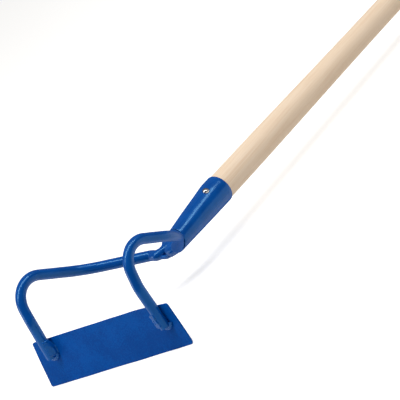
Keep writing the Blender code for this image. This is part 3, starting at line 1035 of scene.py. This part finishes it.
@dataclass
class NeckWeld:
    """Weld metal that fills the socket's end round and under the two bars."""

    socket: Socket
    bars: PathTree
    bead: tuple[Triple, ...] = (
        (-16.0, -20.5, -4.5), (-13.0, -21.5, -5.4), (-7.0, -22.8, -5.4), (0.0, -23.0, -6.5),
        (6.0, -22.6, -6.6), (11.0, -21.0, -5.5))
    bead_radius: float = 2.1
    top_length: float = 7.0
    bottom_length: float = 22.5
    half_width: float = 10.4
    half_height: float = 6.0
    side_reach: float = 16.5
    waist: float = 0.55
    waist_steps: int = 8
    tip_steps: int = 14
    tip_round: float = 1.6
    tip_shrink: float = 0.5
    groove: float = 0.75
    rim_inset: float = 0.5

    def build(self) -> Mesh:
        """Make the lumpy fill.

        Returns:
            Closed mesh that tapers from the socket's rim to a rounded tip.
        """
        sides = self.socket.sides
        length = (self.top_length + self.bottom_length) / 2
        slant = math.degrees(math.atan2(self.bottom_length - self.top_length, 2 * self.half_height))
        wide, high = self.socket.half_size(0.0)
        drop = -self.socket.end_drop
        rim = ring(-self.groove, drop, wide - self.rim_inset, high - self.rim_inset,
                   self.socket.end_slant, sides)
        waist = ring(-length * self.waist, drop, self.side_reach, (high + self.half_height) / 2,
                     (self.socket.end_slant + slant) / 2, sides)
        last = ring(-length, drop, self.half_width, self.half_height, slant, sides)
        rings = [rim, *blend_rings(rim, waist, self.waist_steps), waist,
                 *blend_rings(waist, last, self.tip_steps), last]
        for degrees in range(20, 81, 20):
            turn = math.radians(degrees)
            share = 1.0 - self.tip_shrink * (1.0 - math.cos(turn))
            y = -length - self.tip_round * math.sin(turn)
            rings.append(ring(y, drop, self.half_width * share, self.half_height * share, slant, sides))
        mesh = skin(rings)
        roughen(mesh, size=4.5, depth=0.7, seed=5)
        roughen(mesh, size=1.8, depth=0.2, seed=7)
        return mesh

    def dress(self, paint: Material) -> None:
        finish_piece("neck_fill", self.build(), paint, ["neck_weld"], 80.0)
        corners = [Vector(point) for point in self.bead]
        bead = self.bars.grow(rounded_path(corners, [5.0] * (len(corners) - 2)), {
            "Radius": self.bead_radius, "Sides": 28, "Spacing": 0.3, "Ripple Pitch": 2.4,
            "Ripple Share": 0.05, "Lump Size": 4.0, "Lump Depth": 0.7, "Seed": 9.0, "Finish": paint})
        finish_piece("neck_bead", bead, paint, ["neck_weld"], 80.0)


@dataclass
class Studio:
    """White floor, a long softbox overhead, a weaker one in front, a dim room and the camera."""

    key_strength: float = 9.5
    key_width: float = 0.45
    key_length: float = 4.6
    key_height: float = 1.9
    key_heading: float = 55.6
    key_place: Pair = (0.27, -0.75)
    fill_strength: float = 3.4
    fill_size: Pair = (0.5, 0.3)
    fill_place: Triple = (-0.62, -1.25, 0.22)
    fill_aim: Triple = (0.0, -0.7, 0.05)
    room: str = "#706E6B"
    floor_half: int = 40
    floor_light: float = 0.58
    floor_colour: str = "#DEDDDB"
    zoom: float = 1.03
    frame_pixels: float = 400.0
    distance_pixels: float = 5000.0
    roll: float = 18.89
    handle_tilt: float = 37.0
    handle_heading: float = 47.35
    origin_pixels: Pair = (-25.49, -37.75)

    def camera_matrix(self) -> Matrix:
        """Place of the camera.

        Returns:
            Matrix of a camera that sees the handle at the photograph's tilt, heading and roll.
        """
        tilt = math.radians(self.handle_tilt)
        heading = math.radians(self.handle_heading)
        roll = math.radians(self.roll)
        flat = math.cos(tilt)
        handle = Vector((flat * math.cos(heading), flat * math.sin(heading), -math.sin(tilt)))
        level = (math.cos(roll), math.sin(roll))
        depth = (level[0] * handle.x + level[1] * handle.y) / math.sin(tilt)
        across = Vector((level[0], level[1], depth)).normalized()
        turn = Matrix((across, handle, across.cross(handle)))
        reach = Vector((-self.origin_pixels[0], -self.origin_pixels[1], self.distance_pixels)) / self.zoom
        return AXES.matrix() @ Matrix.Translation(turn @ reach * MM) @ turn.to_4x4()

    def add_camera(self) -> None:
        """Add the camera and make it the scene's."""
        data = bpy.data.cameras.new("camera")
        data.sensor_width = 36.0
        data.lens = self.distance_pixels * data.sensor_width / self.frame_pixels
        data.clip_end = 100.0
        camera = add_object("camera", data)
        camera.matrix_world = self.camera_matrix()
        bpy.context.scene.camera = camera

    def add_softbox(self, name: str, place: Vector, aim: Vector, size: Pair,
                    radiance: float, long_way: Vector) -> None:
        """Add a rectangular lamp.

        Args:
            name: name of the lamp.
            place: its middle.
            aim: point it faces.
            size: its width and length.
            radiance: brightness of its face, where 1 is white.
            long_way: direction that its length follows.
        """
        data = bpy.data.lights.new(name, "AREA")
        data.shape = "RECTANGLE"
        data.size = size[0]
        data.size_y = size[1]
        data.energy = radiance * math.pi * size[0] * size[1]
        lamp = add_object(name, data)
        back = (place - aim).normalized()
        across = long_way.cross(back).normalized()
        turn = Matrix((across, back.cross(across), back)).transposed()
        lamp.matrix_world = Matrix.Translation(place) @ turn.to_4x4()

    def paper(self) -> Material:
        """Make the floor's material.

        Returns:
            Matt paper that is topped up to white for the camera and for reflections, and keeps its shadows.
        """
        material, tree = blank_material("white_paper_sweep")
        path = add_node(tree, "ShaderNodeLightPath").outputs
        seen = add_math(tree, "ADD", path["Is Camera Ray"], path["Is Glossy Ray"])
        seen = add_math(tree, "ADD", seen, path["Is Transmission Ray"], clamp=True)
        glow = add_math(tree, "MULTIPLY", seen, self.floor_light)
        set_surface(tree, {
            "Base Color": linear(self.floor_colour), "Roughness": 0.9, "Specular IOR Level": 0.0,
            "Emission Color": (1.0, 1.0, 1.0, 1.0), "Emission Strength": glow})
        return material

    def build(self) -> None:
        """Add the room, the floor, the lamps and the camera."""
        scene = bpy.context.scene
        scene.view_settings.view_transform = "Standard"
        world = bpy.data.worlds.new("studio")
        world.use_nodes = True
        scene.world = world
        tree = world.node_tree
        tree.nodes.clear()
        glow = add_node(tree, "ShaderNodeBackground", {"Color": linear(self.room), "Strength": 1.0})
        add_node(tree, "ShaderNodeOutputWorld", {"Surface": glow.outputs[0]})
        floor = bpy.data.meshes.new("floor")
        half = self.floor_half
        floor.from_pydata([(-half, -half, 0), (half, -half, 0), (half, half, 0), (-half, half, 0)], [],
                          [(0, 1, 2, 3)])
        floor.materials.append(self.paper())
        ground = add_object("floor", floor)
        heading = math.radians(self.key_heading)
        self.add_softbox("key_softbox", Vector((*self.key_place, self.key_height)),
                         Vector((*self.key_place, 0.0)), (self.key_width, self.key_length), self.key_strength,
                         Vector((math.cos(heading), math.sin(heading), 0.0)))
        self.add_softbox("fill_softbox", Vector(self.fill_place), Vector(self.fill_aim), self.fill_size,
                         self.fill_strength, Vector((0.0, 0.0, 1.0)))
        self.add_camera()
        LOG.info("studio: softbox %.2f x %.2f m", self.key_width, self.key_length)


def main() -> None:
    """Build the tool and its studio, piece by piece."""
    logging.basicConfig(level=logging.INFO, format="%(message)s")
    enamel = GlossEnamel().build()
    plate_enamel = GlossEnamel(name="blue_satin_enamel", body="#004FA4", deep="#004393", roughness=0.38,
                               specular=0.04, peel_mm=2.0, peel_depth_mm=0.07, cloud_mm=26.0,
                               fleck_share=0.4).build()
    wood = BareWood().build()
    steel = BrightSteel().build()
    socket = Socket()
    blade = Blade()
    socket.dress(enamel)
    Handle(socket).dress(wood)
    Rivet(socket).dress(steel)
    blade.dress(plate_enamel)
    bars = PathTree("swept_bar")
    ArmPair(blade, bars).dress(enamel)
    NeckWeld(socket, bars).dress(enamel)
    Studio().build()


if __name__ == "__main__":
    main()
